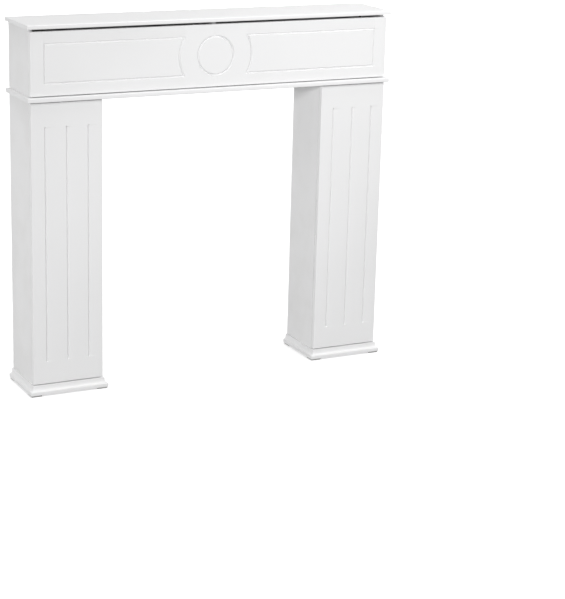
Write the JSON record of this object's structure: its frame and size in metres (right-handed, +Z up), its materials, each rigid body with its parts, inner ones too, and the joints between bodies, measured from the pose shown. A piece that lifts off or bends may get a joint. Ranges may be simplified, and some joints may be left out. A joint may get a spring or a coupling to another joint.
{
  "type": "fireplace mantelpiece with storage",
  "caption": "White painted fireplace surround: hollow columns with grooved doors carry a ledge, a frieze box behind a routed drop-down flap, and a top board.",
  "frame": {"origin": "on the floor, under the middle of the whole piece", "axes": "+X to the right, the front facing -Y, +Z up"},
  "size_m": [1.071, 0.182, 1],
  "materials": {
    "white_paint": "satin white paint on smooth fibreboard",
    "inside_white": "matt white facing on thin board",
    "hinge_steel": "dark burnished steel",
    "foot_plastic": "grey glide pads"
  },
  "bodies": {
    "cabinet": {"top_board": "white_paint", "ledge_board": "white_paint", "frieze_left_side": "white_paint", "frieze_right_side": "white_paint", "frieze_back": "inside_white", "frieze_divider": "white_paint", "column_left_outer_side": "white_paint", "column_left_inner_side": "white_paint", "column_left_back": "inside_white", "shelf_left": "inside_white", "shelf_pin_left_outer_front": "hinge_steel", "shelf_pin_left_outer_back": "hinge_steel", "shelf_pin_left_inner_front": "hinge_steel", "shelf_pin_left_inner_back": "hinge_steel", "plinth_left": "white_paint", "foot_left_column_front_left": "foot_plastic", "foot_left_column_back_left": "foot_plastic", "foot_left_column_front_right": "foot_plastic", "foot_left_column_back_right": "foot_plastic", "column_right_outer_side": "white_paint", "column_right_inner_side": "white_paint", "column_right_back": "inside_white", "shelf_right": "inside_white", "shelf_pin_right_outer_front": "hinge_steel", "shelf_pin_right_outer_back": "hinge_steel", "shelf_pin_right_inner_front": "hinge_steel", "shelf_pin_right_inner_back": "hinge_steel", "plinth_right": "white_paint", "foot_right_column_front_left": "foot_plastic", "foot_right_column_back_left": "foot_plastic", "foot_right_column_front_right": "foot_plastic", "foot_right_column_back_right": "foot_plastic", "hinge_arm_left_top": "hinge_steel", "hinge_arm_left_bottom": "hinge_steel", "hinge_arm_right_top": "hinge_steel", "hinge_arm_right_bottom": "hinge_steel", "hinge_arm_flap_left": "hinge_steel", "hinge_arm_flap_right": "hinge_steel"},
    "flap_panel": {"flap": "white_paint", "hinge_cup_flap_left": "hinge_steel", "hinge_cup_flap_right": "hinge_steel"},
    "left_door_panel": {"door_left": "white_paint", "hinge_cup_left_top": "hinge_steel", "hinge_cup_left_bottom": "hinge_steel"},
    "right_door_panel": {"door_right": "white_paint", "hinge_cup_right_top": "hinge_steel", "hinge_cup_right_bottom": "hinge_steel"},
    "left_top_link": {"hinge_link_left_top": "hinge_steel"},
    "left_bottom_link": {"hinge_link_left_bottom": "hinge_steel"},
    "right_top_link": {"hinge_link_right_top": "hinge_steel"},
    "right_bottom_link": {"hinge_link_right_bottom": "hinge_steel"},
    "flap_left_link": {"hinge_link_flap_left": "hinge_steel"},
    "flap_right_link": {"hinge_link_flap_right": "hinge_steel"}
  },
  "joints": [
    {"name": "flap_hinge", "type": "hinge", "parent": "cabinet", "child": "flap_panel", "pos_m": [0, -0.075, 0.8185], "axis": [1, 0, 0], "range_deg": [0, 90]},
    {"name": "door_left_hinge", "type": "hinge", "parent": "cabinet", "child": "left_door_panel", "pos_m": [-0.5195, -0.075, 0.4], "axis": [0, 0, -1], "range_deg": [0, 95]},
    {"name": "door_right_hinge", "type": "hinge", "parent": "cabinet", "child": "right_door_panel", "pos_m": [0.5195, -0.075, 0.4], "axis": [0, 0, 1], "range_deg": [0, 95]},
    {"name": "left_top_link_pivot", "type": "hinge", "parent": "left_door_panel", "child": "left_top_link", "pos_m": [-0.5137, -0.0658, 0.735], "axis": [0, 0, 1], "range_deg": [0, 150]},
    {"name": "left_bottom_link_pivot", "type": "hinge", "parent": "left_door_panel", "child": "left_bottom_link", "pos_m": [-0.5137, -0.0658, 0.1295], "axis": [0, 0, 1], "range_deg": [0, 150]},
    {"name": "right_top_link_pivot", "type": "hinge", "parent": "right_door_panel", "child": "right_top_link", "pos_m": [0.5137, -0.0658, 0.735], "axis": [0, 0, -1], "range_deg": [0, 150]},
    {"name": "right_bottom_link_pivot", "type": "hinge", "parent": "right_door_panel", "child": "right_bottom_link", "pos_m": [0.5137, -0.0658, 0.1295], "axis": [0, 0, -1], "range_deg": [0, 150]},
    {"name": "flap_left_link_pivot", "type": "hinge", "parent": "flap_panel", "child": "flap_left_link", "pos_m": [-0.4275, -0.0658, 0.8243], "axis": [-1, 0, 0], "range_deg": [0, 142]},
    {"name": "flap_right_link_pivot", "type": "hinge", "parent": "flap_panel", "child": "flap_right_link", "pos_m": [0.4275, -0.0658, 0.8243], "axis": [-1, 0, 0], "range_deg": [0, 142]}
  ],
  "couplings": [
    {"joint": "left_top_link_pivot", "follows": "door_left_hinge", "ratio": 1.5738},
    {"joint": "left_bottom_link_pivot", "follows": "door_left_hinge", "ratio": 1.5738},
    {"joint": "right_top_link_pivot", "follows": "door_right_hinge", "ratio": 1.5738},
    {"joint": "right_bottom_link_pivot", "follows": "door_right_hinge", "ratio": 1.5738},
    {"joint": "flap_left_link_pivot", "follows": "flap_hinge", "ratio": 1.5738},
    {"joint": "flap_right_link_pivot", "follows": "flap_hinge", "ratio": 1.5738}
  ]
}
